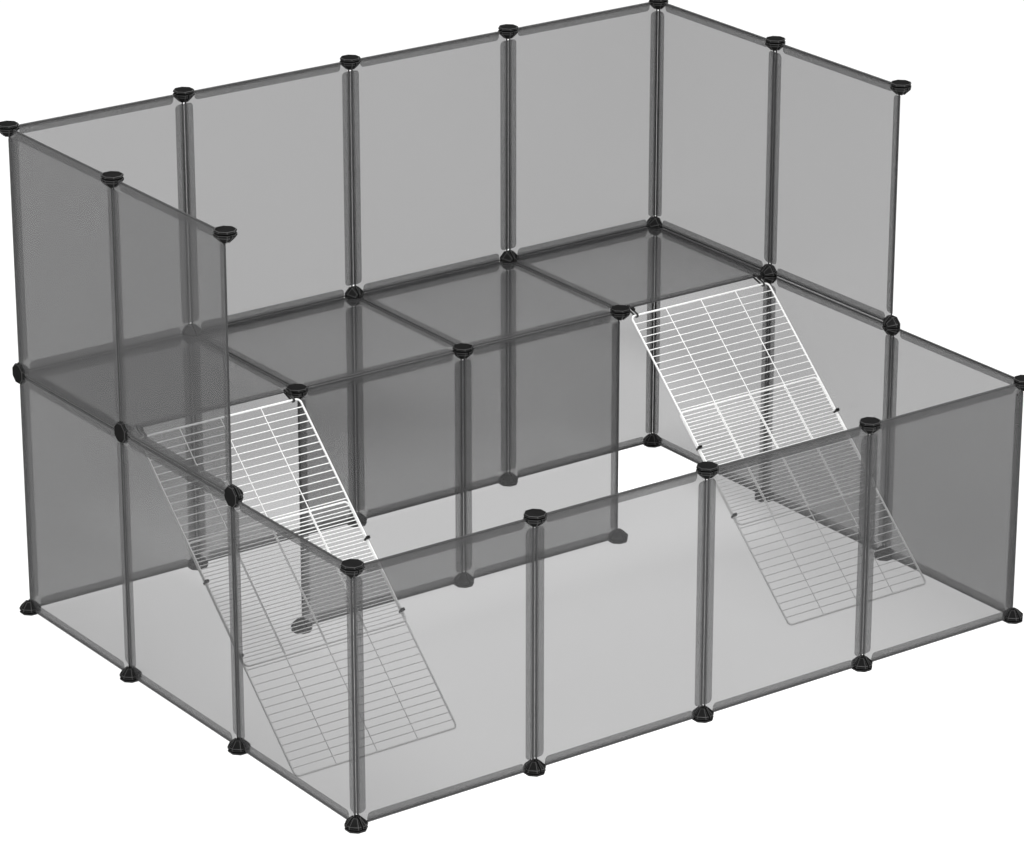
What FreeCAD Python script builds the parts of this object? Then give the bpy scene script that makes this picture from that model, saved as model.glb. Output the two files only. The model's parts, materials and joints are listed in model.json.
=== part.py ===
# Two-level pet pen: framed translucent panels held by eight-sided connectors,
# with two hinged wire ramps from the deck to the floor.
# Millimetres, +X along the four-bay front, +Y to the back, +Z up.
# The origin is at the centre of the footprint, on the floor.
import FreeCAD, Part
import math
import os

from FreeCAD import Rotation, Vector

# Bays and levels
bays_wide = 4
bays_deep = 3
deck_row = 2
bay_pitch = 350.0
level_pitch = 450.0

# Panel: a closed steel edge wire round a hemmed plastic sheet
edge_wire = 3.0
corner_radius = 15.0
sheet_thickness = 0.8
hem_width = 13.0
corner_cut = 20.0

# Connector
connector_width = 36.0
cap_thickness = 3.3
cap_bevel = 1.2
rim_height = 4.5
connector_depth = 15.3
tip_width = 15.0
slot_play = 0.2
seat_play = 0.3

# Ramp grids of welded wire
grid_length = 446.0
grid_corner = 10.0
rung_wire = 1.8
rung_pitch = 14.0
bar_shares = (0.25, 0.5, 0.75)
overlap_share = 0.53
ramp_inner_margin = 7.0
ramp_outer_margin = 18.5
ramp_front_play = 1.0
ramp_drop = 8.0
floor_play = 0.3

# Cable ties
tie_width = 3.6
tie_thickness = 1.4
tie_play = 0.35
tie_head_length = 6.5
tie_head_height = 4.6
splice_phase_share = 0.45
splice_tie_shares = (0.63, 0.96)

# Fits worked out from the sizes above
slot_width = edge_wire + 2 * slot_play
panel_inset = slot_width / 2 + seat_play
node_height = slot_width / 2 + cap_thickness
bend_share = 1 - math.sqrt(0.5)
hub_reach = 2 * (panel_inset + corner_radius * bend_share) - seat_play * math.sqrt(2)
grid_frame = 2 * rung_wire

x_axis = Vector(1, 0, 0)
y_axis = Vector(0, 1, 0)
z_axis = Vector(0, 0, 1)
cap_turns = {
    "up": Rotation(x_axis, 0),
    "down": Rotation(x_axis, 180),
    "left": Rotation(y_axis, -90),
    "right": Rotation(y_axis, 90),
    "back": Rotation(x_axis, -90),
}
wall_along_x = Rotation(x_axis, 90)
wall_along_y = Rotation(z_axis, 90).multiply(Rotation(x_axis, 90))
flat_deck = Rotation(x_axis, 0)


def node_point(column, row, level):
    x = (column - bays_wide / 2) * bay_pitch
    y = (row - bays_deep / 2) * bay_pitch
    return Vector(x, y, node_height + level * level_pitch)


def placed(shape, turn, point):
    copy = shape.copy()
    copy.Placement = FreeCAD.Placement(point, turn).multiply(copy.Placement)
    return copy


def polygon_face(points, height):
    corners = [Vector(x, y, height) for x, y in points]
    return Part.Face(Part.makePolygon(corners + corners[:1]))


def prism(points, bottom, top):
    return polygon_face(points, bottom).extrude(Vector(0, 0, top - bottom))


def box(x_range, y_range, z_range):
    corner = Vector(x_range[0], y_range[0], z_range[0])
    return Part.makeBox(x_range[1] - x_range[0], y_range[1] - y_range[0], z_range[1] - z_range[0], corner)


def fused(shapes):
    return shapes[0].fuse(shapes[1:]).removeSplitter()


def bent_outline(half_x, half_y, radius):
    # A rectangle whose bends turn in two straight steps each
    points = []
    for quarter in range(4):
        sign_x = 1 if quarter in (0, 3) else -1
        sign_y = 1 if quarter in (0, 1) else -1
        centre_x = sign_x * (half_x - radius)
        centre_y = sign_y * (half_y - radius)
        for step in range(3):
            angle = math.radians(90 * quarter + 45 * step)
            points.append((centre_x + radius * math.cos(angle), centre_y + radius * math.sin(angle)))
    return points


def wire_ring(half_x, half_y, radius, wire):
    outer = prism(bent_outline(half_x, half_y, radius), -wire / 2, wire / 2)
    inner = prism(bent_outline(half_x - wire, half_y - wire, radius - wire), -wire / 2, wire / 2)
    return outer.cut(inner)


# Panels lie in local X and Y with their middle plane at local Z of zero.
def edge_ring(width, height):
    return wire_ring(width / 2 - panel_inset, height / 2 - panel_inset, corner_radius, edge_wire)


def hemmed_sheet(width, height):
    half_x = width / 2 - panel_inset - edge_wire
    half_y = height / 2 - panel_inset - edge_wire
    short_x = half_x - corner_cut
    short_y = half_y - corner_cut
    outline = [(short_x, -half_y), (half_x, -short_y), (half_x, short_y), (short_x, half_y),
               (-short_x, half_y), (-half_x, short_y), (-half_x, -short_y), (-short_x, -half_y)]
    pieces = [prism(outline, -sheet_thickness, 0)]
    fold = (0, sheet_thickness)
    for low, high in ((-half_y, -half_y + hem_width), (half_y - hem_width, half_y)):
        pieces.append(box((-short_x, short_x), (low, high), fold))
    for low, high in ((-half_x, -half_x + hem_width), (half_x - hem_width, half_x)):
        pieces.append(box((low, high), (-short_y, short_y), fold))
    return fused(pieces)


# Connector: cap outwards along local +Z, node point at the local origin.
def octagon(width):
    reach = width / 2 / math.cos(math.pi / 8)
    angles = [math.pi / 8 + side * math.pi / 4 for side in range(8)]
    return [(reach * math.cos(angle), reach * math.sin(angle)) for angle in angles]


def octagon_taper(bottom_width, bottom, top_width, top):
    rings = []
    for width, height in ((bottom_width, bottom), (top_width, top)):
        rings.append([Vector(x, y, height) for x, y in octagon(width)])
    low, high = rings
    faces = [Part.Face(Part.makePolygon(ring + ring[:1])) for ring in rings]
    for side in range(len(low)):
        following = (side + 1) % len(low)
        quad = [low[side], low[following], high[following], high[side], low[side]]
        faces.append(Part.Face(Part.makePolygon(quad)))
    return Part.Solid(Part.Shell(faces))


def connector():
    groove = slot_width / 2
    rim_end = -groove - rim_height
    tip = -groove - connector_depth
    cap = octagon_taper(connector_width, groove, connector_width - 2 * cap_bevel, node_height)
    rim = prism(octagon(connector_width), rim_end, -groove)
    taper = octagon_taper(tip_width, tip, connector_width, rim_end)
    petals = rim.fuse(taper)
    for reach_x, reach_y in ((connector_width, groove), (groove, connector_width)):
        petals = petals.cut(box((-reach_x, reach_x), (-reach_y, reach_y), (tip, -groove)))
    hub_outline = [(hub_reach, 0), (0, hub_reach), (-hub_reach, 0), (0, -hub_reach)]
    hub = prism(hub_outline, -groove, groove)
    return fused([cap, hub] + petals.Solids)


# Ramp grid: the top wire's axis lies on local X, the grid runs towards local -Y.
def ramp_width():
    return bay_pitch - ramp_inner_margin - ramp_outer_margin


def rung_places():
    clear = grid_length - 2 * grid_frame
    gaps = round(clear / rung_pitch)
    step = clear / gaps
    return [-grid_frame / 2 - step * (rung + 1) for rung in range(gaps - 1)]


def rung_step():
    places = rung_places()
    return places[0] - places[1]


def wire_grid():
    width = ramp_width()
    half = width / 2 - grid_frame
    frame = wire_ring(width / 2, grid_length / 2, grid_corner, grid_frame)
    frame.translate(Vector(0, (grid_frame - grid_length) / 2, 0))
    wires = [frame]
    under = (-grid_frame / 2, rung_wire - grid_frame / 2)
    over = (under[1], under[1] + rung_wire)
    for place in rung_places():
        wires.append(box((-half, half), (place - rung_wire / 2, place + rung_wire / 2), under))
    for share in bar_shares:
        middle = (share - 0.5) * width
        run = (1.5 * grid_frame - grid_length, -grid_frame / 2)
        wires.append(box((middle - rung_wire / 2, middle + rung_wire / 2), run, over))
    return Part.makeCompound(wires)


def splice_shift():
    # The lower grid starts a whole number of rungs down, plus a phase that keeps the rungs apart.
    rungs_down = round(len(rung_places()) * (1 - overlap_share))
    return (rungs_down + splice_phase_share) * rung_step()


def ramp_pivot():
    deck_edge = node_point(0, deck_row, 1)
    y = deck_edge.y - connector_width / 2 - ramp_front_play - grid_frame / 2
    return Vector(0, y, deck_edge.z - ramp_drop)


def ramp_slope():
    # The lower grid's last wire comes down to floor_play above the floor.
    reach = splice_shift() + grid_length - grid_frame / 2
    below = 1.5 * grid_frame
    rise = ramp_pivot().z - floor_play
    return math.asin(rise / math.hypot(reach, below)) - math.atan2(below, reach)


def outer_bay_edge():
    return (bays_wide / 2 - 1) * bay_pitch


def ramp_middle(side):
    inner_edge = outer_bay_edge() + ramp_inner_margin
    return side * (inner_edge + ramp_width() / 2)


def on_ramp(shape, side, local):
    turn = Rotation(x_axis, math.degrees(ramp_slope()))
    origin = ramp_pivot() + Vector(ramp_middle(side), 0, 0)
    return placed(shape, turn, origin + turn.multVec(local))


# Cable tie: a band round two wires along local Y, with its head on the band, local Z up.
def tie_head_half():
    return tie_width / 2 + tie_thickness


def tie_loop(half_length, half_height):
    outer_y = half_length + tie_thickness
    outer_z = half_height + tie_thickness
    half = tie_width / 2
    band = box((-half, half), (-outer_y, outer_y), (-outer_z, outer_z))
    band = band.cut(box((-half, half), (-half_length, half_length), (-half_height, half_height)))
    head_x = (-tie_head_half(), tie_head_half())
    head_y = (-tie_head_length / 2, tie_head_length / 2)
    head = box(head_x, head_y, (half_height, half_height + tie_head_height))
    return fused([band, head])


def hinge_wire():
    deck_edge = node_point(0, deck_row, 1)
    return deck_edge + Vector(0, panel_inset + edge_wire / 2, 0)


def hinge_tie_places():
    # Each tie sits just past the connector and the bend of the ramp's top wire.
    kept_clear = max(connector_width / 2, ramp_inner_margin + grid_corner)
    offset = ramp_inner_margin + ramp_width() / 2 - kept_clear - tie_head_half() - tie_play
    return (-offset, offset)


def hinge_loop_half_height():
    return grid_frame * math.sqrt(0.5) + tie_play


def hinge_tilt():
    return math.atan2(ramp_drop, hinge_wire().y - ramp_pivot().y)


def hinge_ties(side):
    pivot = ramp_pivot()
    wire = hinge_wire()
    span = math.hypot(wire.y - pivot.y, ramp_drop)
    band = tie_loop(span / 2 + hinge_loop_half_height(), hinge_loop_half_height())
    turn = Rotation(x_axis, math.degrees(hinge_tilt()))
    middle = Vector(ramp_middle(side), (wire.y + pivot.y) / 2, (wire.z + pivot.z) / 2)
    return [placed(band, turn, middle + Vector(place, 0, 0)) for place in hinge_tie_places()]


def splice_ties(side):
    # Bands round the two stacked side wires, each in the wider gap between two rungs
    half_x = grid_frame / 2 + tie_play
    band = tie_loop(half_x, grid_frame + tie_play)
    band.rotate(Vector(), z_axis, -90)
    places = rung_places()
    edge = (ramp_width() - grid_frame) / 2
    ties = []
    for share in splice_tie_shares:
        rung = places[round(share * len(places)) - 1]
        along = rung - rung_step() * (1 + splice_phase_share) / 2
        for end in (-edge, edge):
            ties.append(on_ramp(band, side, Vector(end, along, -grid_frame / 2)))
    return ties


def tie_notches(middle):
    # Clearance in the deck sheet's front hem where a hinge tie goes round the edge wire
    reach = (hinge_loop_half_height() + tie_thickness) / math.cos(hinge_tilt())
    half = tie_width / 2 + tie_play
    front = -bay_pitch / 2 + panel_inset + edge_wire
    back = front - edge_wire / 2 + reach + tie_play
    side = math.copysign(1, middle)
    notches = []
    for place in hinge_tie_places():
        x = ramp_middle(side) + place - middle
        notches.append(box((x - half, x + half), (front, back), (-sheet_thickness, sheet_thickness)))
    return notches


def deck_sheet(middle):
    sheet = hemmed_sheet(bay_pitch, bay_pitch)
    if abs(middle) > outer_bay_edge():
        sheet = sheet.cut(tie_notches(middle))
    return sheet


def export(name, shapes):
    solids = [solid for shape in shapes for solid in shape.Solids]
    Part.makeCompound(solids).exportStep("parts/" + name + ".step")


def export_section(name, places, width, height, turn):
    # One sheet node for each panel, and one node for the section's edge wires
    ring = edge_ring(width, height)
    sheet = hemmed_sheet(width, height)
    for number, place in enumerate(places, 1):
        export(name + "_panel_" + str(number), [placed(sheet, turn, place)])
    export(name + "_wires", [placed(ring, turn, place) for place in places])


def between(first, second):
    return (first + second) * 0.5


def wall_x(row, columns, level):
    return [between(node_point(c, row, level), node_point(c + 1, row, level + 1)) for c in columns]


def wall_y(column, rows, level):
    return [between(node_point(column, r, level), node_point(column, r + 1, level + 1)) for r in rows]


def export_panels():
    all_columns = range(bays_wide)
    inner_columns = range(1, bays_wide - 1)
    all_rows = range(bays_deep)
    upper_rows = range(deck_row - 1, bays_deep)
    walls = (bay_pitch, level_pitch)
    export_section("front", wall_x(0, all_columns, 0), *walls, wall_along_x)
    export_section("left_lower", wall_y(0, all_rows, 0), *walls, wall_along_y)
    export_section("right_lower", wall_y(bays_wide, all_rows, 0), *walls, wall_along_y)
    export_section("back_lower", wall_x(bays_deep, all_columns, 0), *walls, wall_along_x)
    export_section("divider", wall_x(deck_row, inner_columns, 0), *walls, wall_along_x)
    export_section("back_upper", wall_x(bays_deep, all_columns, 1), *walls, wall_along_x)
    export_section("left_upper", wall_y(0, upper_rows, 1), *walls, wall_along_y)
    export_section("right_upper", wall_y(bays_wide, upper_rows, 1), *walls, wall_along_y)

    decks = [between(node_point(c, deck_row, 1), node_point(c + 1, deck_row + 1, 1)) for c in all_columns]
    ring = edge_ring(bay_pitch, bay_pitch)
    for number, place in enumerate(decks, 1):
        export("deck_panel_" + str(number), [placed(deck_sheet(place.x), flat_deck, place)])
    export("deck_wires", [placed(ring, flat_deck, place) for place in decks])


def export_connectors():
    last_column = bays_wide
    columns = range(bays_wide + 1)
    inner_columns = range(1, bays_wide)
    middle_rows = range(1, bays_deep)
    side_rows = range(1, bays_deep + 1)
    top_rows = range(deck_row - 1, bays_deep)
    groups = {
        "front_feet": ("down", [(c, 0, 0) for c in columns]),
        "back_feet": ("down", [(c, bays_deep, 0) for c in columns]),
        "left_feet": ("down", [(0, r, 0) for r in middle_rows]),
        "right_feet": ("down", [(last_column, r, 0) for r in middle_rows]),
        "inner_feet": ("down", [(c, deck_row, 0) for c in inner_columns]),
        "front_rim_connectors": ("up", [(c, 0, 1) for c in columns]),
        "deck_edge_connectors": ("up", [(c, deck_row, 1) for c in inner_columns]),
        "left_mid_connectors": ("left", [(0, r, 1) for r in side_rows]),
        "right_mid_connectors": ("right", [(last_column, r, 1) for r in side_rows]),
        "back_mid_connectors": ("back", [(c, bays_deep, 1) for c in inner_columns]),
        "back_top_connectors": ("up", [(c, bays_deep, 2) for c in columns]),
        "left_top_connectors": ("up", [(0, r, 2) for r in top_rows]),
        "right_top_connectors": ("up", [(last_column, r, 2) for r in top_rows]),
    }
    moulding = connector()
    for name, (cap, places) in groups.items():
        export(name, [placed(moulding, cap_turns[cap], node_point(*place)) for place in places])


def export_ramps():
    grid = wire_grid()
    lower = Vector(0, -splice_shift(), -grid_frame)
    for name, side in (("left_ramp", -1), ("right_ramp", 1)):
        export(name + "_upper_grid", [on_ramp(grid, side, Vector())])
        export(name + "_lower_grid", [on_ramp(grid, side, lower)])
        export(name + "_splice_ties", splice_ties(side))
        export(name + "_hinge_ties", hinge_ties(side))


os.makedirs("parts", exist_ok=True)
export_panels()
export_connectors()
export_ramps()

pivot = ramp_pivot()
print("ramp axis y, z:", round(pivot.y, 3), round(pivot.z, 3))
print("ramp slope, degrees:", round(math.degrees(ramp_slope()), 3))
print("ramp middle x, width:", round(ramp_middle(1), 3), round(ramp_width(), 3))
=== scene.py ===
import bmesh
import bpy
import json
import math
from mathutils import Matrix, Vector


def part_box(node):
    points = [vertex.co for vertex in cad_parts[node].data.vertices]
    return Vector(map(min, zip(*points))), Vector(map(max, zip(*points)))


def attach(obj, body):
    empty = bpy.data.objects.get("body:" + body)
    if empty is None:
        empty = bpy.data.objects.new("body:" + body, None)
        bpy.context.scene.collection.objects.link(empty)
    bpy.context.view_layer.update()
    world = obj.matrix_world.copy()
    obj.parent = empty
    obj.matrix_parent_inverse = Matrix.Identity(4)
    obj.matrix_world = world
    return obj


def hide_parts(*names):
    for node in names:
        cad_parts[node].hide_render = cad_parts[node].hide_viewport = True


# A two-level pet pen: film panels in wire frames, eight-sided connectors and two hinged ramps
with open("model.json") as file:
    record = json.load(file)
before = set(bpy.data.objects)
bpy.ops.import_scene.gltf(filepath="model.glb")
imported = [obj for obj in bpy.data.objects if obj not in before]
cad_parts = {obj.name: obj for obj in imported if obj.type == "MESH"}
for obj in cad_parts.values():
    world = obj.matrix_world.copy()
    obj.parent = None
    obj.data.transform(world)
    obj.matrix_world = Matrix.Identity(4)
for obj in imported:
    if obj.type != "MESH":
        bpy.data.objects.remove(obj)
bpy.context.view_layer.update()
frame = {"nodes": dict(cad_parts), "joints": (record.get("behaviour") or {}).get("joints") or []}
print("frame loaded with", len(frame["nodes"]), "nodes")

# Everything is in metres. Panels meet on node lines, and each panel edge stops short of its line.
pen = {
    "bay": 0.350,
    "level": 0.450,
    "wide": 4,
    "deep": 3,
    "deckRow": 2,
    "footHeight": 0.005,
    "edgeInset": 0.002,
}
xAxis, yAxis, zAxis = Vector((1, 0, 0)), Vector((0, 1, 0)), Vector((0, 0, 1))


def nodePoint(column, row, level):
    x = (column - pen["wide"] / 2) * pen["bay"]
    y = (row - pen["deep"] / 2) * pen["bay"]
    return Vector((x, y, pen["footHeight"] + level * pen["level"]))


# Viewport habits: one piece selected, edit mode, pick by place
def selectOnly(*pieces):
    if bpy.context.mode != "OBJECT":
        bpy.ops.object.mode_set(mode="OBJECT")
    bpy.ops.object.select_all(action="DESELECT")
    for piece in pieces:
        piece.select_set(True)
    if pieces:
        bpy.context.view_layer.objects.active = pieces[0]


def openEdit(piece):
    selectOnly(piece)
    bpy.ops.object.mode_set(mode="EDIT")


def closeEdit():
    bpy.ops.object.mode_set(mode="OBJECT")


def pickAll():
    bpy.ops.mesh.select_all(action="SELECT")


def pick(piece, kind, test):
    # kind is VERT, EDGE or FACE, and the test gets the element's middle and the element
    bpy.ops.mesh.select_mode(type=kind)
    bpy.ops.mesh.select_all(action="DESELECT")
    shell = bmesh.from_edit_mesh(piece.data)
    elements = {"VERT": shell.verts, "EDGE": shell.edges, "FACE": shell.faces}[kind]
    for element in elements:
        if kind == "VERT":
            middle = element.co
        elif kind == "EDGE":
            middle = (element.verts[0].co + element.verts[1].co) / 2
        else:
            middle = element.calc_center_median()
        if test(middle, element):
            element.select_set(True)
    shell.select_flush_mode()
    bmesh.update_edit_mesh(piece.data)


def facing(*ways):
    # A test for pick: faces that look one of the ways
    return lambda middle, face: any(face.normal.dot(way) > 0.9 for way in ways)


def near(a, b, slack=1e-5):
    return abs(a - b) < slack


def extrude(move):
    bpy.ops.mesh.extrude_region_move(TRANSFORM_OT_translate={"value": move})


def named(name):
    piece = bpy.context.view_layer.objects.active
    piece.name = name
    piece.data.name = name
    return piece


def newPiece(name):
    bpy.ops.object.transform_apply(location=True, rotation=True, scale=True)
    return named(name)


def addPlane(name, width, height):
    selectOnly()
    bpy.ops.mesh.primitive_plane_add(size=1)
    bpy.context.view_layer.objects.active.scale = (width, height, 1)
    return newPiece(name)


def addBlock(name, size, middle):
    selectOnly()
    bpy.ops.mesh.primitive_cube_add(size=1, location=middle)
    bpy.context.view_layer.objects.active.scale = size
    return newPiece(name)


def addPrism(name, sides, width, depth, middle, turn=0.0):
    # width is across the flats of an even-sided prism
    selectOnly()
    bpy.ops.mesh.primitive_cylinder_add(
        vertices=sides, radius=width / 2 / math.cos(math.pi / sides), depth=depth,
        location=middle, rotation=(0, 0, turn))
    return newPiece(name)


def addRod(name, sides, radius, start, end):
    selectOnly()
    along = Vector(end) - Vector(start)
    turn = zAxis.rotation_difference(along.normalized()).to_euler()
    bpy.ops.mesh.primitive_cylinder_add(
        vertices=sides, radius=radius, depth=along.length,
        location=(Vector(start) + Vector(end)) / 2, rotation=turn)
    return newPiece(name)


def applyModifier(piece, kind, **values):
    selectOnly(piece)
    bpy.ops.object.modifier_add(type=kind)
    modifier = piece.modifiers[-1]
    for key, value in values.items():
        setattr(modifier, key, value)
    bpy.ops.object.modifier_apply(modifier=modifier.name)


def roundEdges(piece, width, steps=2, angle=25):
    applyModifier(
        piece, "BEVEL", width=width, segments=steps, limit_method="ANGLE",
        angle_limit=math.radians(angle))


def smooth(piece, angle):
    selectOnly(piece)
    bpy.ops.object.shade_smooth_by_angle(angle=math.radians(angle))


def joined(name, parts):
    selectOnly(*parts)
    if len(parts) > 1:
        bpy.ops.object.join()
    return named(name)


def copies(name, master, places):
    # One piece that holds the master at each place, every copy with its own mesh
    parts = []
    for place in places:
        part = master.copy()
        part.data = master.data.copy()
        part.data.transform(place)
        bpy.context.scene.collection.objects.link(part)
        parts.append(part)
    return joined(name, parts)


def remove(*pieces):
    for piece in pieces:
        bpy.data.objects.remove(piece)


wireDetail = {"bendSteps": 6, "roundness": 3, "smoothAngle": 50}


def wireLoop(name, width, height, cornerRadius, wireRadius):
    # A closed loop of round wire, drawn as a rounded rectangle and given its thickness as a curve
    loop = addPlane(name, width, height)
    openEdit(loop)
    pickAll()
    bpy.ops.mesh.bevel(offset=cornerRadius, segments=wireDetail["bendSteps"], affect="VERTICES")
    pickAll()
    bpy.ops.mesh.delete(type="ONLY_FACE")
    closeEdit()
    selectOnly(loop)
    bpy.ops.object.convert(target="CURVE")
    curve = bpy.context.view_layer.objects.active.data
    curve.bevel_depth = wireRadius
    curve.bevel_resolution = wireDetail["roundness"]
    bpy.ops.object.convert(target="MESH")
    loop = named(name)
    smooth(loop, wireDetail["smoothAngle"])
    return loop


def finish(piece, slot, body, *nodes):
    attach(piece, body)
    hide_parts(*nodes)
    return piece


# Shaders: an input is a number, a colour, or the socket that feeds it
def addNode(tree, kind, inputs=None, **settings):
    node = tree.nodes.new(kind)
    for key, value in settings.items():
        setattr(node, key, value)
    for key, value in (inputs or {}).items():
        if isinstance(value, bpy.types.NodeSocket):
            tree.links.new(value, node.inputs[key])
        else:
            node.inputs[key].default_value = value
    return node


def addMath(tree, operation, *inputs, **settings):
    node = addNode(tree, "ShaderNodeMath", dict(enumerate(inputs)), operation=operation, **settings)
    return node.outputs[0]


def addNoise(tree, place, scale, detail, roughness):
    inputs = {"Vector": place, "Scale": scale, "Detail": detail, "Roughness": roughness}
    return addNode(tree, "ShaderNodeTexNoise", inputs).outputs["Fac"]


def mouldedGrain():
    # Fine grain with broad waves and scuffs: puts out a tone, a roughness and a height
    floats = "NodeSocketFloat"
    defaults = {
        "Grain Size": 900.0, "Wave Size": 6.0, "Base Tone": 0.3, "Tone Spread": 0.03,
        "Base Roughness": 0.35, "Roughness Spread": 0.1, "Grain Share": 0.3,
    }
    group = bpy.data.node_groups.new("mouldedGrain", "ShaderNodeTree")
    for label, value in defaults.items():
        socket = group.interface.new_socket(name=label, in_out="INPUT", socket_type=floats)
        socket.default_value = value
    for label in ("Tone", "Roughness", "Height"):
        group.interface.new_socket(name=label, in_out="OUTPUT", socket_type=floats)
    entry = group.nodes.new("NodeGroupInput").outputs
    place = addNode(group, "ShaderNodeTexCoord").outputs["Object"]
    grain = addNoise(group, place, entry["Grain Size"], detail=2.0, roughness=0.6)
    wave = addNoise(group, place, entry["Wave Size"], detail=1.5, roughness=0.45)
    scuff = addNoise(group, place, scale=38.0, detail=6.0, roughness=0.7)
    waved = addMath(group, "ADD", wave, -0.5)
    scuffed = addMath(group, "ADD", scuff, -0.5)
    addNode(group, "NodeGroupOutput", {
        "Tone": addMath(group, "MULTIPLY_ADD", waved, entry["Tone Spread"], entry["Base Tone"]),
        "Roughness": addMath(
            group, "MULTIPLY_ADD", scuffed, entry["Roughness Spread"], entry["Base Roughness"],
            use_clamp=True),
        "Height": addMath(group, "MULTIPLY_ADD", grain, entry["Grain Share"], wave),
    })
    return group


grainGroup = mouldedGrain()


def newFinish(name, look):
    material = bpy.data.materials.new(name)
    material.use_nodes = True
    tree = material.node_tree
    grain = addNode(tree, "ShaderNodeGroup", node_tree=grainGroup)
    for label, value in look["grain"].items():
        grain.inputs[label].default_value = value
    # A mix node's colour sockets go by number, because their names are also those of others
    tint = addNode(
        tree, "ShaderNodeMix", {0: 1.0, 6: grain.outputs["Tone"], 7: (*look["tint"], 1)},
        data_type="RGBA", blend_type="MULTIPLY")
    bump = addNode(tree, "ShaderNodeBump", {
        "Strength": look["bump"], "Distance": look["bumpDepth"], "Height": grain.outputs["Height"]})
    shader = tree.nodes["Principled BSDF"]
    tree.links.new(tint.outputs[2], shader.inputs["Base Color"])
    tree.links.new(grain.outputs["Roughness"], shader.inputs["Roughness"])
    tree.links.new(bump.outputs["Normal"], shader.inputs["Normal"])
    for label, value in look["shader"].items():
        shader.inputs[label].default_value = value
    return material


finishes = {
    "smokeSheet": {
        "grain": {"Grain Size": 700.0, "Wave Size": 5.0, "Base Tone": 0.058, "Tone Spread": 0.016,
                  "Base Roughness": 0.34, "Roughness Spread": 0.12, "Grain Share": 0.004},
        "tint": (1.0, 1.0, 1.02), "bump": 0.2, "bumpDepth": 0.004, "shader": {"Alpha": 0.417},
    },
    "smokeHem": {
        "grain": {"Grain Size": 700.0, "Wave Size": 9.0, "Base Tone": 0.057, "Tone Spread": 0.024,
                  "Base Roughness": 0.36, "Roughness Spread": 0.14, "Grain Share": 0.006},
        "tint": (1.0, 1.0, 1.02), "bump": 0.2, "bumpDepth": 0.003, "shader": {"Alpha": 0.42},
    },
    "smokeFold": {
        "grain": {"Grain Size": 700.0, "Wave Size": 14.0, "Base Tone": 0.057, "Tone Spread": 0.024,
                  "Base Roughness": 0.36, "Roughness Spread": 0.12, "Grain Share": 0.01},
        "tint": (1.0, 1.0, 1.02), "bump": 0.2, "bumpDepth": 0.002, "shader": {"Alpha": 0.52},
    },
    "edgeWire": {
        "grain": {"Grain Size": 1500.0, "Wave Size": 60.0, "Base Tone": 0.017, "Tone Spread": 0.014,
                  "Base Roughness": 0.4, "Roughness Spread": 0.2, "Grain Share": 0.4},
        "tint": (1.0, 1.0, 1.0), "bump": 0.3, "bumpDepth": 0.0003,
        "shader": {"Specular IOR Level": 0.3},
    },
    "connectorBlack": {
        "grain": {"Grain Size": 2600.0, "Wave Size": 45.0, "Base Tone": 0.014, "Tone Spread": 0.009,
                  "Base Roughness": 0.5, "Roughness Spread": 0.3, "Grain Share": 0.6},
        "tint": (1.0, 1.0, 1.0), "bump": 0.35, "bumpDepth": 0.0004,
        "shader": {"Specular IOR Level": 0.0},
    },
    # Rounded connector edges: glossier than the faces, and a lighter tone that is a painted
    # highlight
    "connectorEdgeHighlight": {
        "grain": {"Grain Size": 2600.0, "Wave Size": 45.0, "Base Tone": 0.045, "Tone Spread": 0.022,
                  "Base Roughness": 0.34, "Roughness Spread": 0.2, "Grain Share": 0.4},
        "tint": (1.0, 1.0, 1.0), "bump": 0.25, "bumpDepth": 0.0002,
        "shader": {"Specular IOR Level": 0.3},
    },
    "rampWhite": {
        "grain": {"Grain Size": 1800.0, "Wave Size": 40.0, "Base Tone": 0.9, "Tone Spread": 0.06,
                  "Base Roughness": 0.36, "Roughness Spread": 0.2, "Grain Share": 0.4},
        "tint": (1.0, 1.0, 0.995), "bump": 0.25, "bumpDepth": 0.0003, "shader": {},
    },
    "tieBlack": {
        "grain": {"Grain Size": 3000.0, "Wave Size": 120.0, "Base Tone": 0.012, "Tone Spread": 0.009,
                  "Base Roughness": 0.45, "Roughness Spread": 0.25, "Grain Share": 0.5},
        "tint": (1.0, 1.0, 1.0), "bump": 0.3, "bumpDepth": 0.0002,
        "shader": {"Specular IOR Level": 0.25},
    },
}
materials = {name: newFinish(name, look) for name, look in finishes.items()}
print("finishes made:", ", ".join(materials))


def dress(piece, *names):
    piece.data.materials.clear()
    for name in names:
        piece.data.materials.append(materials[name])


# Film: a flat sheet whose border is folded round the edge wire and welded back as a hem
film = {
    "wireRadius": 0.0015,
    "cornerRadius": 0.015,
    "seam": 0.0063,            # from the panel's edge to where the fold closes
    "bareEdge": 0.0036,        # from the panel's edge to the sheet's own edge beside a connector
    "bareCorner": 0.0110,
    "bareCornerSteps": 5,
    "hem": 0.016,              # from the panel's edge to the hem's cut edge
    "hemStart": 0.0215,        # from the node line to the hem's end
    "hemCorner": 0.0075,
    "hemCornerSteps": 4,
    "thickness": 0.00075,
    "foldThickness": 0.00035,
    "foldPlay": 0.00005,
    "freeStretch": 1.55,       # how far the fold's outer half is drawn out past a round one
    "seamStretch": 1.80,       # the same where a panel in the same plane lies beside it
    "crossedStretch": 1.25,    # the same where such a seam runs across its edge
    "offset": 0.000425,        # from the panel's middle plane to each layer's middle
    "foldSteps": 12,
    "tieGap": 0.0025,          # from a hinge tie's middle to the end of the hem on each side
    "smoothAngle": 30,
}


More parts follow.
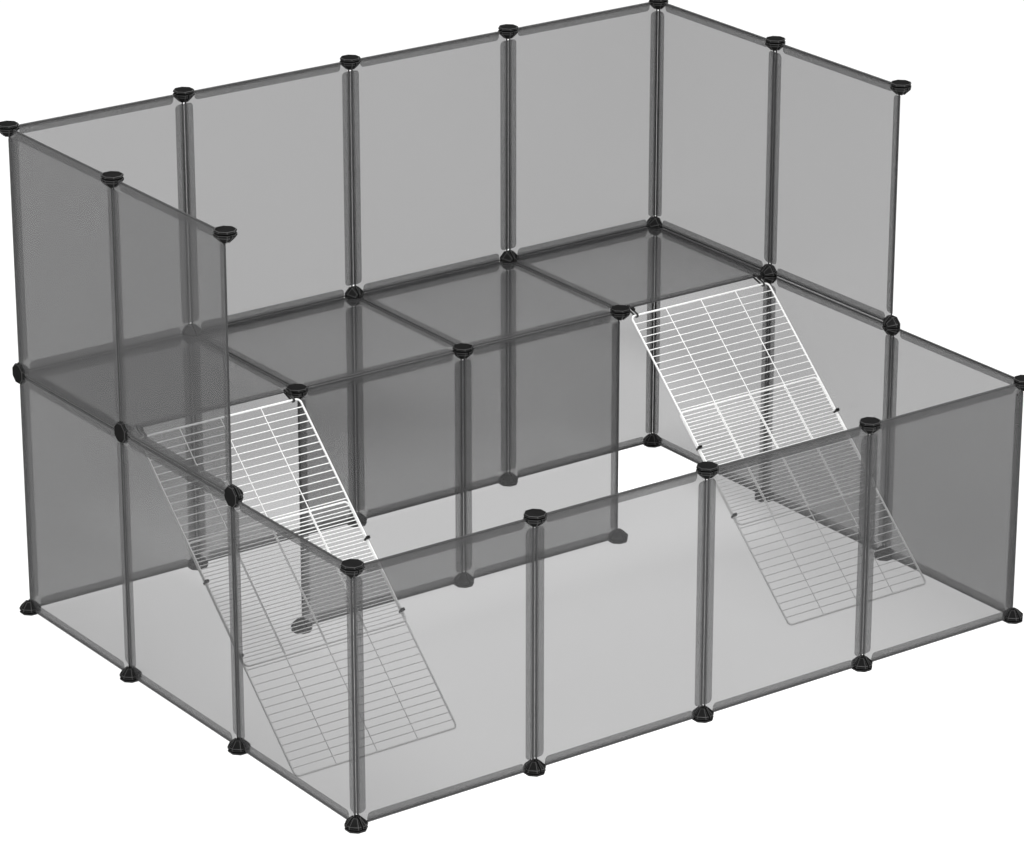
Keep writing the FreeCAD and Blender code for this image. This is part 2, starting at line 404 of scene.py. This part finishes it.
def foldSide(piece, outward, edgeAt, hemEnd, stretch, gaps):
    # Extrudes one border of the flat sheet under the wire, spins it round, lays it back as the hem
    wireAt = edgeAt - film["wireRadius"]
    seamAt = edgeAt - film["seam"]
    radius = film["wireRadius"] + film["foldPlay"] + film["foldThickness"] / 2
    reach, offset = wireAt - seamAt, film["offset"]
    lean = math.atan2(offset, reach) + math.acos(radius / math.hypot(reach, offset))
    along = Vector((abs(outward.y), abs(outward.x), 0))

    def onBorder(middle, edge):
        sideways = middle.dot(along)
        clear = abs(sideways) < hemEnd and all(not low < sideways < high for low, high in gaps)
        flat = near((edge.verts[0].co - edge.verts[1].co).dot(outward), 0, 1e-6)
        return clear and flat and near(middle.dot(outward), seamAt)

    pick(piece, "EDGE", onBorder)
    run, rise = reach - radius * math.cos(lean), offset - radius * math.sin(lean)
    extrude(outward * run + zAxis * rise)
    bpy.ops.mesh.spin(
        steps=film["foldSteps"], angle=2 * math.pi - 2 * lean,
        center=outward * wireAt, axis=zAxis.cross(outward))
    extrude(-outward * run + zAxis * rise)
    extrude(outward * (film["seam"] - film["hem"]))
    pick(piece, "VERT", lambda middle, vertex: middle.dot(outward) > wireAt + 1e-6)
    drawn = [1 + (stretch - 1) * abs(part) for part in outward]
    bpy.ops.transform.resize(value=drawn, center_override=outward * wireAt)


def addFilm(name, width, height, stretches, gaps):
    edgeX, edgeY = width / 2 - pen["edgeInset"], height / 2 - pen["edgeInset"]
    hemX, hemY = width / 2 - film["hemStart"], height / 2 - film["hemStart"]
    seamX, seamY = edgeX - film["seam"], edgeY - film["seam"]

    def inFold(middle, slack=0):
        besideX = abs(middle.x) > seamX + slack and abs(middle.y) < hemY + slack
        besideY = abs(middle.y) > seamY + slack and abs(middle.x) < hemX + slack
        return besideX or besideY

    def pastSeam(middle, face):
        inGap = middle.y < -seamY and any(low < middle.x < high for low, high in gaps)
        return inFold(middle) or inGap

    def hemTip(middle, vertex):
        atX = near(abs(middle.x), edgeX - film["hem"]) and near(abs(middle.y), hemY)
        atY = near(abs(middle.y), edgeY - film["hem"]) and near(abs(middle.x), hemX)
        return middle.z > 0 and (atX or atY)

    sheet = addPlane(name, 2 * (edgeX - film["bareEdge"]), 2 * (edgeY - film["bareEdge"]))
    openEdit(sheet)
    pickAll()
    bpy.ops.transform.translate(value=(0, 0, -film["offset"]))
    bpy.ops.mesh.bevel(
        offset=film["bareCorner"], segments=film["bareCornerSteps"], affect="VERTICES")
    cuts = [(xAxis, place) for gap in gaps for place in gap]
    cuts += [(xAxis, end * place) for place in (hemX, seamX) for end in (-1, 1)]
    cuts += [(yAxis, end * place) for place in (hemY, seamY) for end in (-1, 1)]
    for axis, place in cuts:
        pickAll()
        bpy.ops.mesh.bisect(plane_co=axis * place, plane_no=axis)
    pick(sheet, "FACE", pastSeam)
    bpy.ops.mesh.delete(type="FACE")
    foldSide(sheet, xAxis, edgeX, hemY, stretches[0], [])
    foldSide(sheet, -xAxis, edgeX, hemY, stretches[1], [])
    foldSide(sheet, yAxis, edgeY, hemX, stretches[2], [])
    foldSide(sheet, -yAxis, edgeY, hemX, stretches[3], gaps)
    pick(sheet, "VERT", hemTip)
    bpy.ops.mesh.bevel(
        offset=film["hemCorner"], segments=film["hemCornerSteps"], affect="VERTICES")
    closeEdit()

    group = sheet.vertex_groups.new(name="fullThickness")
    full = [vertex.index for vertex in sheet.data.vertices if not inFold(vertex.co, 1e-5)]
    group.add(full, 1.0, "REPLACE")
    applyModifier(
        sheet, "SOLIDIFY", thickness=film["thickness"], offset=0.0, vertex_group=group.name,
        thickness_vertex_group=film["foldThickness"] / film["thickness"])
    sheet.vertex_groups.clear()
    dress(sheet, "smokeSheet", "smokeHem", "smokeFold")
    for face in sheet.data.polygons:
        if inFold(face.center):
            face.material_index = 2
        elif face.center.z > 0:
            face.material_index = 1
    smooth(sheet, film["smoothAngle"])
    return sheet


def panelPlace(node):
    # A panel stands square to the axis along which its node is thinnest
    low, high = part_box(node)
    size = high - low
    turns = {
        "x": Matrix((yAxis, zAxis, xAxis)).transposed(),
        "y": Matrix((xAxis, zAxis, -yAxis)).transposed(),
        "z": Matrix.Identity(3),
    }
    turn = turns["xyz"[min(range(3), key=lambda axis: size[axis])]]
    return Matrix.Translation((low + high) / 2) @ turn.to_4x4()


def panelHeight(node):
    return pen["bay"] if node.startswith("deck") else pen["level"]


ramp = {
    "length": 0.446,
    "corner": 0.010,
    "frameWire": 0.0036,
    "rungWire": 0.0018,
    "rungPitch": 0.014,
    "barShares": (0.25, 0.5, 0.75),
    "weldSink": 0.00015,       # how deep a bar lies in the rungs
    "overlapShare": 0.53,      # how much of the upper grid the lower one lies under
    "phaseShare": 0.45,        # how far the lower grid's rungs are out of step, in steps
    "innerMargin": 0.007,      # from the bay's inner node line to the grid
    "outerMargin": 0.0185,     # and from the node line of the side wall
    "floorPlay": 0.0003,
    "rodSides": 10,
}
tie = {
    "width": 0.0036,
    "thickness": 0.0014,
    "play": 0.00035,
    "bendShare": 0.75,         # of the opening's smaller half, for the band's inner bends
    "bendSteps": 4,
    "headLength": 0.0065,
    "headHeight": 0.0046,
    "headTaper": 0.82,
    "tail": 0.0034,
    "tailShare": 0.92,         # the tail's width as a share of the band's
    "tailTip": (0.85, 0.8, 1),
    "spliceShares": (0.63, 0.96),
    # In shares of the thickness
    "bandEdge": 0.15,
    "mouthInset": 0.45,
    "mouthDepth": 0.5,
    "headEdge": 0.22,
    "tailLean": 0.5,
    "tailEdge": 0.12,
    "edgeAngle": 40,
    "smoothAngle": 35,
}
connector = {
    "sides": 8,
    "width": 0.036,
    "capTop": 0.0336,
    "capHeight": 0.0033,
    "crown": 0.0003,
    "crownInset": 0.0035,
    "groove": 0.0034,
    "rim": 0.0045,
    "depth": 0.0153,
    "tip": 0.015,
    "hub": 0.01236,
    "edge": 0.00055,
    "smoothAngle": 30,
}
rampWidth = pen["bay"] - ramp["innerMargin"] - ramp["outerMargin"]
rampPivot = {joint["name"]: Vector(joint["pos_m"]) for joint in frame["joints"]}


def rungPlaces():
    clear = ramp["length"] - 2 * ramp["frameWire"]
    gaps = round(clear / ramp["rungPitch"])
    step = clear / gaps
    return step, [-ramp["frameWire"] / 2 - step * (rung + 1) for rung in range(gaps - 1)]


def hingeTiePlaces():
    # As near the grid's corners as its bends and the connectors leave room
    kept = max(connector["width"] / 2, ramp["innerMargin"] + ramp["corner"])
    head = tie["width"] / 2 + tie["thickness"]
    offset = ramp["innerMargin"] + rampWidth / 2 - kept - head - tie["play"]
    return (-offset, offset)


def tieGaps(node):
    # Where a hinge tie goes round the deck's front wire through the hem
    if node not in ("deck_panel_1", "deck_panel_4"):
        return []
    low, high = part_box(node)
    middle = (low.x + high.x) / 2
    pivot = rampPivot["left_ramp_swing" if middle < 0 else "right_ramp_swing"]
    places = [pivot.x + place - middle for place in hingeTiePlaces()]
    hemEnd = pen["bay"] / 2 - film["hemStart"]
    gap = film["tieGap"]
    return [(place - gap, place + gap) for place in places if abs(place) < hemEnd]


panelNodes = sorted(node for node in frame["nodes"] if "_panel_" in node)


def sideStretch(node, outward, reach):
    # A fold is drawn right up to a panel in its own plane, and keeps clear of one square to it
    place = panelPlace(node)
    ahead, across = place.to_3x3() @ outward, place.to_3x3() @ zAxis
    edge = place.translation + ahead * reach
    crossing = 0
    for other in panelNodes:
        offset = panelPlace(other).translation - edge
        if offset.length > pen["bay"]:
            continue
        if offset.dot(ahead) > 0 and near((offset - ahead * offset.dot(ahead)).length, 0, 1e-3):
            return film["seamStretch"]
        if near((offset - across * offset.dot(across)).length, 0, 1e-3):
            crossing += 1
    return film["crossedStretch" if crossing > 1 else "freeStretch"]


def addSheets():
    masters = {}
    for node in panelNodes:
        height = panelHeight(node)
        gaps = tieGaps(node)
        sides = ((xAxis, pen["bay"]), (-xAxis, pen["bay"]), (yAxis, height), (-yAxis, height))
        stretches = [sideStretch(node, outward, across / 2) for outward, across in sides]
        key = (height, tuple(stretches), tuple(gaps))
        if key not in masters:
            masters[key] = addFilm("filmMaster", pen["bay"], height, stretches, gaps)
        section, number = node.split("_panel_")
        sheet = copies("film_" + section + "_" + number, masters[key], [panelPlace(node)])
        finish(sheet, "smoke_sheet", "pen", node)
    remove(*masters.values())
    print("sheets made:", len(panelNodes))


def addEdgeWires():
    # One closed loop in each panel
    wireNodes = sorted(node for node in frame["nodes"] if node.endswith("_wires"))
    inset = 2 * (pen["edgeInset"] + film["wireRadius"])
    for node in wireNodes:
        loop = wireLoop(
            "wireMaster", pen["bay"] - inset, panelHeight(node) - inset,
            film["cornerRadius"] - film["wireRadius"], film["wireRadius"])
        section = node[:-len("_wires")]
        places = [panelPlace(panel) for panel in panelNodes if panel.startswith(section + "_panel")]
        wires = copies("wire_" + section, loop, places)
        dress(wires, "edgeWire")
        finish(wires, "edge_wire", "pen", node)
        remove(loop)
    print("edge wires made:", len(wireNodes), "sections")


# Connector: an eight-sided cap, a groove, and four petals parted by a cross of slots
def addCap():
    height = connector["capHeight"] - connector["crown"]
    cap = addPrism(
        "cap", connector["sides"], connector["width"], height,
        (0, 0, connector["groove"] / 2 + height / 2), math.pi / connector["sides"])
    openEdit(cap)
    pick(cap, "FACE", facing(zAxis))
    share = connector["capTop"] / connector["width"]
    bpy.ops.transform.resize(value=(share, share, 1))
    bpy.ops.mesh.inset(thickness=connector["crownInset"], depth=connector["crown"])
    closeEdit()
    roundEdges(cap, connector["edge"])
    return cap


def addPetal():
    half = connector["groove"] / 2
    petal = addPrism(
        "petal", connector["sides"], connector["width"], connector["rim"],
        (0, 0, -half - connector["rim"] / 2), math.pi / connector["sides"])
    openEdit(petal)
    pick(petal, "FACE", facing(-zAxis))
    extrude((0, 0, connector["rim"] - connector["depth"]))
    share = connector["tip"] / connector["width"]
    bpy.ops.transform.resize(value=(share, share, 1))
    for normal in (xAxis, yAxis):
        pickAll()
        bpy.ops.mesh.bisect(
            plane_co=normal * half, plane_no=normal, use_fill=True, clear_inner=True)
    pickAll()
    bpy.ops.mesh.normals_make_consistent(inside=False)
    closeEdit()
    roundEdges(petal, connector["edge"])
    return petal


def addConnector():
    petal = addPetal()
    quarters = [Matrix.Rotation(math.radians(90 * turn), 4, "Z") for turn in range(4)]
    petals = copies("petals", petal, quarters)
    remove(petal)
    # The hub reaches past the rounded edges into the cap and the petals
    height = connector["groove"] + 4 * connector["edge"]
    hub = addPrism("hub", 4, connector["hub"] * math.sqrt(2), height, (0, 0, 0))
    roundEdges(hub, connector["edge"], steps=1)
    whole = joined("connectorMaster", [addCap(), petals, hub])
    smooth(whole, connector["smoothAngle"])
    # The rounded edges are smoother and glossier than the faces, and their lighter tone is a painted
    # highlight, so they get a finish of their own
    dress(whole, "connectorBlack", "connectorEdgeHighlight")
    for face in whole.data.polygons:
        corners = [whole.data.vertices[index].co for index in face.vertices]
        longest = max((corner - corners[place - 1]).length for place, corner in enumerate(corners))
        face.material_index = 1 if face.area < longest * connector["edge"] else 0
    return whole


wide, deep, deckRow = pen["wide"], pen["deep"], pen["deckRow"]
columns, inner, sideRows = range(wide + 1), range(1, wide), range(1, deep + 1)
topRows = range(deckRow - 1, deep)
capTurns = {
    "up": Matrix.Identity(4),
    "down": Matrix.Rotation(math.pi, 4, "X"),
    "left": Matrix.Rotation(-math.pi / 2, 4, "Y"),
    "right": Matrix.Rotation(math.pi / 2, 4, "Y"),
    "back": Matrix.Rotation(-math.pi / 2, 4, "X"),
}
connectorRows = {
    "front_feet": ("down", [(c, 0, 0) for c in columns]),
    "back_feet": ("down", [(c, deep, 0) for c in columns]),
    "left_feet": ("down", [(0, r, 0) for r in range(1, deep)]),
    "right_feet": ("down", [(wide, r, 0) for r in range(1, deep)]),
    "inner_feet": ("down", [(c, deckRow, 0) for c in inner]),
    "front_rim_connectors": ("up", [(c, 0, 1) for c in columns]),
    "deck_edge_connectors": ("up", [(c, deckRow, 1) for c in inner]),
    "left_mid_connectors": ("left", [(0, r, 1) for r in sideRows]),
    "right_mid_connectors": ("right", [(wide, r, 1) for r in sideRows]),
    "back_mid_connectors": ("back", [(c, deep, 1) for c in inner]),
    "back_top_connectors": ("up", [(c, deep, 2) for c in columns]),
    "left_top_connectors": ("up", [(0, r, 2) for r in topRows]),
    "right_top_connectors": ("up", [(wide, r, 2) for r in topRows]),
}


def addConnectors():
    master = addConnector()
    for node, (cap, spots) in connectorRows.items():
        places = [Matrix.Translation(nodePoint(*spot)) @ capTurns[cap] for spot in spots]
        group = copies("joint_" + node, master, places)
        finish(group, "connector_black", "pen", node)
    remove(master)
    print("connectors made:", len(connectorRows), "groups")


# Ramp grids: local X across, local Y up the slope from the top wire, local Z square to the grid
def addGrid():
    reach = ramp["length"] - ramp["frameWire"]
    side = (rampWidth - ramp["frameWire"]) / 2
    frameRadius = ramp["frameWire"] / 2
    loop = wireLoop("gridFrame", 2 * side, reach, ramp["corner"] - frameRadius, frameRadius)
    loop.data.transform(Matrix.Translation((0, -reach / 2, 0)))
    step, places = rungPlaces()
    low = (ramp["rungWire"] - ramp["frameWire"]) / 2
    high = low + ramp["rungWire"] - ramp["weldSink"]
    radius = ramp["rungWire"] / 2
    rung = addRod("rung", ramp["rodSides"], radius, (-side, places[0], low), (side, places[0], low))
    applyModifier(
        rung, "ARRAY", count=len(places), use_relative_offset=False,
        use_constant_offset=True, constant_offset_displace=(0, -step, 0))
    parts = [loop, rung]
    for share in ramp["barShares"]:
        x = (share - 0.5) * rampWidth
        parts.append(addRod("bar", ramp["rodSides"], radius, (x, 0, high), (x, -reach, high)))
    grid = joined("gridMaster", parts)
    smooth(grid, wireDetail["smoothAngle"])
    return grid


def rampSlope(pivot, shift):
    # The lower grid hangs under the upper one, and its end wire is what stands on the floor
    reach = shift + ramp["length"] - ramp["frameWire"] / 2
    below = 1.5 * ramp["frameWire"]
    rise = pivot.z - ramp["floorPlay"]
    return math.asin(rise / math.hypot(reach, below)) - math.atan2(below, reach)


# Cable tie: a band on edge round two wires, with a ratchet head and a trimmed tail
def addBand(halfLength, halfHeight):
    thick = tie["thickness"]
    band = addPlane("band", 2 * (halfLength + thick), 2 * (halfHeight + thick))
    openEdit(band)
    pickAll()
    bend = min(halfLength, halfHeight) * tie["bendShare"] + thick
    bpy.ops.mesh.bevel(offset=bend, segments=tie["bendSteps"], affect="VERTICES")
    pick(band, "FACE", lambda middle, face: True)
    bpy.ops.mesh.inset(thickness=thick, depth=0)
    bpy.ops.mesh.delete(type="FACE")
    pickAll()
    extrude((0, 0, tie["width"]))
    pickAll()
    bpy.ops.mesh.normals_make_consistent(inside=False)
    closeEdit()
    # The outline was drawn flat, so it turns up: across becomes local Y, up becomes local Z
    band.data.transform(Matrix.Translation((0, 0, -tie["width"] / 2)))
    band.data.transform(Matrix((zAxis, xAxis, yAxis)).to_4x4())
    roundEdges(band, thick * tie["bandEdge"], steps=1, angle=tie["edgeAngle"])
    return band


def addHead(foot):
    thick = tie["thickness"]
    size = (tie["width"] + 2 * thick, tie["headLength"], tie["headHeight"])
    head = addBlock("head", size, (0, 0, foot + tie["headHeight"] / 2))
    openEdit(head)
    pick(head, "FACE", facing(zAxis))
    bpy.ops.mesh.inset(thickness=thick * tie["mouthInset"])
    extrude((0, 0, -thick * tie["mouthDepth"]))
    pick(head, "FACE", facing(yAxis, -yAxis))
    bpy.ops.transform.resize(value=(tie["headTaper"], 1, 1))
    closeEdit()
    roundEdges(head, thick * tie["headEdge"], steps=2, angle=tie["edgeAngle"])
    return head


def addTail(foot, top):
    thick = tie["thickness"]
    size = (tie["width"] * tie["tailShare"], thick, top - foot)
    tail = addBlock("tail", size, (0, 0, (foot + top) / 2))
    openEdit(tail)
    pick(tail, "FACE", facing(zAxis))
    bpy.ops.transform.resize(value=tie["tailTip"])
    bpy.ops.transform.translate(value=(0, thick * tie["tailLean"], 0))
    closeEdit()
    roundEdges(tail, thick * tie["tailEdge"], steps=1, angle=tie["edgeAngle"])
    return tail


def addTie(halfLength, halfHeight):
    headTop = halfHeight + tie["headHeight"]
    parts = [
        addBand(halfLength, halfHeight),
        addHead(halfHeight),
        addTail(halfHeight + tie["headHeight"] / 2, headTop + tie["tail"]),
    ]
    whole = joined("tieMaster", parts)
    smooth(whole, tie["smoothAngle"])
    return whole


def addRamp(side, grid, spliceTie):
    body = side + "_ramp"
    pivot = rampPivot[body + "_swing"]
    step, places = rungPlaces()
    rungsDown = round(len(places) * (1 - ramp["overlapShare"]))
    shift = (rungsDown + ramp["phaseShare"]) * step
    onRamp = Matrix.Translation(pivot) @ Matrix.Rotation(rampSlope(pivot, shift), 4, "X")
    onLower = onRamp @ Matrix.Translation((0, -shift, -ramp["frameWire"]))
    for half, place in (("upper", onRamp), ("lower", onLower)):
        piece = copies("grid_" + side + "_" + half, grid, [place])
        dress(piece, "rampWhite")
        finish(piece, "ramp_white", body, body + "_" + half + "_grid")

    spots = []
    for share in tie["spliceShares"]:
        along = places[round(share * len(places)) - 1] - step * (1 + ramp["phaseShare"]) / 2
        for end in (-1, 1):
            x = end * (rampWidth - ramp["frameWire"]) / 2
            spots.append(onRamp @ Matrix.Translation((x, along, -ramp["frameWire"] / 2)))
    ties = copies("ties_" + side + "_splice", spliceTie, spots)
    dress(ties, "tieBlack")
    finish(ties, "tie_black", body, body + "_splice_ties")

    # The hinge ties join the deck's front wire and the ramp's top wire, and stay with the pen
    deckWire = nodePoint(0, deckRow, 1) + Vector((0, pen["edgeInset"] + film["wireRadius"], 0))
    span = Vector((0, deckWire.y - pivot.y, deckWire.z - pivot.z))
    half = ramp["frameWire"] * math.sqrt(0.5) + tie["play"]
    hingeTie = addTie(span.length / 2 + half, half)
    tilt = Matrix.Rotation(math.atan2(span.z, span.y), 4, "X")
    middle = Vector((pivot.x, (deckWire.y + pivot.y) / 2, (deckWire.z + pivot.z) / 2))
    spots = [Matrix.Translation(middle + xAxis * place) @ tilt for place in hingeTiePlaces()]
    ties = copies("ties_" + side + "_hinge", hingeTie, spots)
    dress(ties, "tieBlack")
    finish(ties, "tie_black", "pen", body + "_hinge_ties")
    remove(hingeTie)


def addRamps():
    grid = addGrid()
    spliceTie = addTie(ramp["frameWire"] / 2 + tie["play"], ramp["frameWire"] + tie["play"])
    spliceTie.data.transform(Matrix.Rotation(-math.pi / 2, 4, "Z"))
    for side in ("left", "right"):
        addRamp(side, grid, spliceTie)
    remove(grid, spliceTie)
    print("ramps made")


# Stage: one pale floor that reads white to the camera and keeps a soft shadow, with painted pools of
# light on it
stage = {
    "floorSize": 60.0,
    "floorTone": 0.9,
    "floorRoughness": 0.9,
    "whiteShare": 0.7,
    "whiteLevel": 1.14,
    "worldLight": 0.7,
}
# Painted pools of light, where the floor is brighter to the camera: in the open run, in the deck's
# shade where the painted light cancels the deck's shadow, and behind the pen
paintedLightPools = (
    {"middle": (0, 0), "halves": (0.30, 0.525), "fades": (0.65, 0.35), "level": 0.46},
    {"middle": (0.12, 0.41), "halves": (0.46, 0.21), "fades": (0.15, 0.42), "level": 0.70},
    {"middle": (0.72, 0.90), "halves": (0.17, 0.28), "fades": (0.22, 0.20), "level": 0.42},
    {"middle": (0.85, 1.32), "halves": (0.45, 0.12), "fades": (0.25, 0.20), "level": 0.28},
)
white = (1, 1, 1, 1)


def whiteFor(tree, lit, whiteShare, whiteLevel):
    # Camera, mirror and clear rays see mostly white, and other rays see the lit colour
    paths = addNode(tree, "ShaderNodeLightPath").outputs
    plain = addNode(tree, "ShaderNodeEmission", {"Color": white, "Strength": whiteLevel})
    seen = addMath(tree, "MAXIMUM", paths["Is Camera Ray"], paths["Is Glossy Ray"])
    seen = addMath(tree, "MAXIMUM", seen, paths["Is Transmission Ray"])
    share = addMath(tree, "MULTIPLY", seen, whiteShare)
    mix = addNode(tree, "ShaderNodeMixShader", {0: share, 1: lit.outputs[0], 2: plain.outputs[0]})
    return mix.outputs[0]


def paintedPoolLevel(tree, place, pool):
    # The painted pool of light is full within the pool's halves, and fades to the plain white level
    # past them
    shares = []
    for index in (0, 1):
        shift = addMath(tree, "SUBTRACT", place[index], pool["middle"][index])
        half, fade = pool["halves"][index], pool["fades"][index]
        share = addNode(tree, "ShaderNodeMapRange", {
            "Value": addMath(tree, "ABSOLUTE", shift),
            "From Min": half, "From Max": half + fade, "To Min": 1.0, "To Max": 0.0,
        }, interpolation_type="SMOOTHSTEP")
        shares.append(share.outputs["Result"])
    level = addMath(tree, "MULTIPLY", *shares)
    return addMath(tree, "MULTIPLY_ADD", level, pool["level"], stage["whiteLevel"])


def addFloor():
    selectOnly()
    bpy.ops.mesh.primitive_plane_add(size=stage["floorSize"], location=(0, 0, 0))
    floor = newPiece("floor")
    material = bpy.data.materials.new("paleFloor")
    material.use_nodes = True
    tree = material.node_tree
    shader = tree.nodes["Principled BSDF"]
    shader.inputs["Roughness"].default_value = stage["floorRoughness"]
    shader.inputs["Base Color"].default_value = (stage["floorTone"],) * 3 + (1,)
    place = addNode(tree, "ShaderNodeTexCoord").outputs["Object"]
    place = addNode(tree, "ShaderNodeSeparateXYZ", {0: place}).outputs
    # The brightest painted pool of light sets the floor's level for camera, mirror and clear rays
    brightest = paintedPoolLevel(tree, place, paintedLightPools[0])
    for pool in paintedLightPools[1:]:
        brightest = addMath(tree, "MAXIMUM", brightest, paintedPoolLevel(tree, place, pool))
    surface = whiteFor(tree, shader, stage["whiteShare"], brightest)
    tree.links.new(surface, tree.nodes["Material Output"].inputs["Surface"])
    floor.data.materials.append(material)


def lightWorld():
    world = bpy.data.worlds.new("studio")
    bpy.context.scene.world = world
    world.use_nodes = True
    tree = world.node_tree
    light = tree.nodes["Background"]
    light.inputs["Color"].default_value = white
    light.inputs["Strength"].default_value = stage["worldLight"]
    tree.links.new(whiteFor(tree, light, 1.0, 1.0), tree.nodes["World Output"].inputs["Surface"])


lampTarget = (0, 0, 0.4)
lamps = {
    "key": {"place": (-2.6, -3.4, 3.4), "size": 3.0, "power": 150.0},
    "fill": {"place": (2.8, -3.0, 2.0), "size": 3.0, "power": 45.0},
    "top": {"place": (0.4, 0.6, 4.0), "size": 3.0, "power": 68.0},
}


def addLamps():
    for name, lamp in lamps.items():
        selectOnly()
        turn = (Vector(lampTarget) - Vector(lamp["place"])).to_track_quat("-Z", "Y").to_euler()
        bpy.ops.object.light_add(type="AREA", location=lamp["place"], rotation=turn)
        light = named(name)
        light.data.shape = "DISK"
        light.data.size = lamp["size"]
        light.data.energy = lamp["power"]


view = {
    "azimuth": -35.679,
    "elevation": 21.135,
    "target": (0, 0, 0.430),
    "right": -0.0149,
    "up": -0.0525,
    "distance": 7.069,
    "lens": 142.53,
    "sensor": 36.0,
    "farthest": 200.0,
}


def addCamera():
    turn, rise = math.radians(view["azimuth"]), math.radians(view["elevation"])
    level = math.cos(rise)
    back = Vector((math.sin(turn) * level, -math.cos(turn) * level, math.sin(rise)))
    right = Vector((math.cos(turn), math.sin(turn), 0))
    up = back.cross(right)
    place = Vector(view["target"]) + right * view["right"] + up * view["up"]
    place += back * view["distance"]
    selectOnly()
    bpy.ops.object.camera_add(location=place, rotation=(-back).to_track_quat("-Z", "Y").to_euler())
    camera = named("camera")
    camera.data.sensor_width = view["sensor"]
    camera.data.lens = view["lens"]
    camera.data.clip_end = view["farthest"]
    bpy.context.scene.camera = camera


addSheets()
addEdgeWires()
addConnectors()
addRamps()
addFloor()
lightWorld()
addLamps()
addCamera()
bpy.context.scene.view_settings.view_transform = "Standard"
print("stage set")
